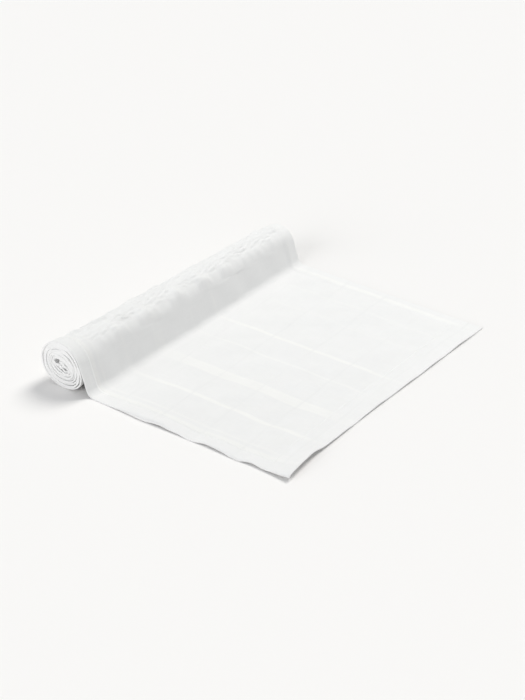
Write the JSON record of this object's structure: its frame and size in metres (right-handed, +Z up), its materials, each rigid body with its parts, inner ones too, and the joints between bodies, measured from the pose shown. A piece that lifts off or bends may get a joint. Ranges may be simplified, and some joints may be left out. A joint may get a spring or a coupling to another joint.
{
  "type": "table runner",
  "caption": "Long woven table runner with sewn hems, partly rolled up, its free end lying flat in front of the roll.",
  "frame": {"origin": "middle of the footprint on the table, under the lowest point of the runner", "axes": "+X from the roll towards the free end, +Y across the runner from its near long side to its far one, +Z up"},
  "size_m": [0.3953, 0.45, 0.064],
  "materials": {
    "woven_cloth": "bleached damask weave, soft satin stripes on a plain ground",
    "hem_cloth": "the same cloth folded twice and pressed",
    "sewing_thread": "white spun sewing thread"
  },
  "bodies": {
    "roll": {"rolled_cloth": "woven_cloth", "core_hem": "hem_cloth", "core_stitching": "sewing_thread", "ramp_cloth": "woven_cloth", "rolled_near_hem": "hem_cloth", "rolled_far_hem": "hem_cloth", "rolled_near_stitching": "sewing_thread", "rolled_far_stitching": "sewing_thread", "ramp_near_hem": "hem_cloth", "ramp_far_hem": "hem_cloth", "ramp_near_stitching": "sewing_thread", "ramp_far_stitching": "sewing_thread"},
    "bay_1": {"bay_1_cloth": "woven_cloth", "bay_1_near_hem": "hem_cloth", "bay_1_far_hem": "hem_cloth", "bay_1_near_stitching": "sewing_thread", "bay_1_far_stitching": "sewing_thread"},
    "bay_2": {"bay_2_cloth": "woven_cloth", "bay_2_near_hem": "hem_cloth", "bay_2_far_hem": "hem_cloth", "bay_2_near_stitching": "sewing_thread", "bay_2_far_stitching": "sewing_thread"},
    "bay_3": {"bay_3_cloth": "woven_cloth", "bay_3_near_hem": "hem_cloth", "bay_3_far_hem": "hem_cloth", "bay_3_near_stitching": "sewing_thread", "bay_3_far_stitching": "sewing_thread", "free_end_hem": "hem_cloth", "free_end_stitching": "sewing_thread"}
  },
  "joints": [
    {"name": "bend_1", "type": "hinge", "parent": "roll", "child": "bay_1", "pos_m": [-0.06629, 0, 0.00135], "axis": [0, -1, 0], "range_deg": [0, 60]},
    {"name": "bend_2", "type": "hinge", "parent": "bay_1", "child": "bay_2", "pos_m": [0.02171, 0, 0.00135], "axis": [0, -1, 0], "range_deg": [0, 60]},
    {"name": "bend_3", "type": "hinge", "parent": "bay_2", "child": "bay_3", "pos_m": [0.10971, 0, 0.00135], "axis": [0, -1, 0], "range_deg": [0, 60]}
  ]
}
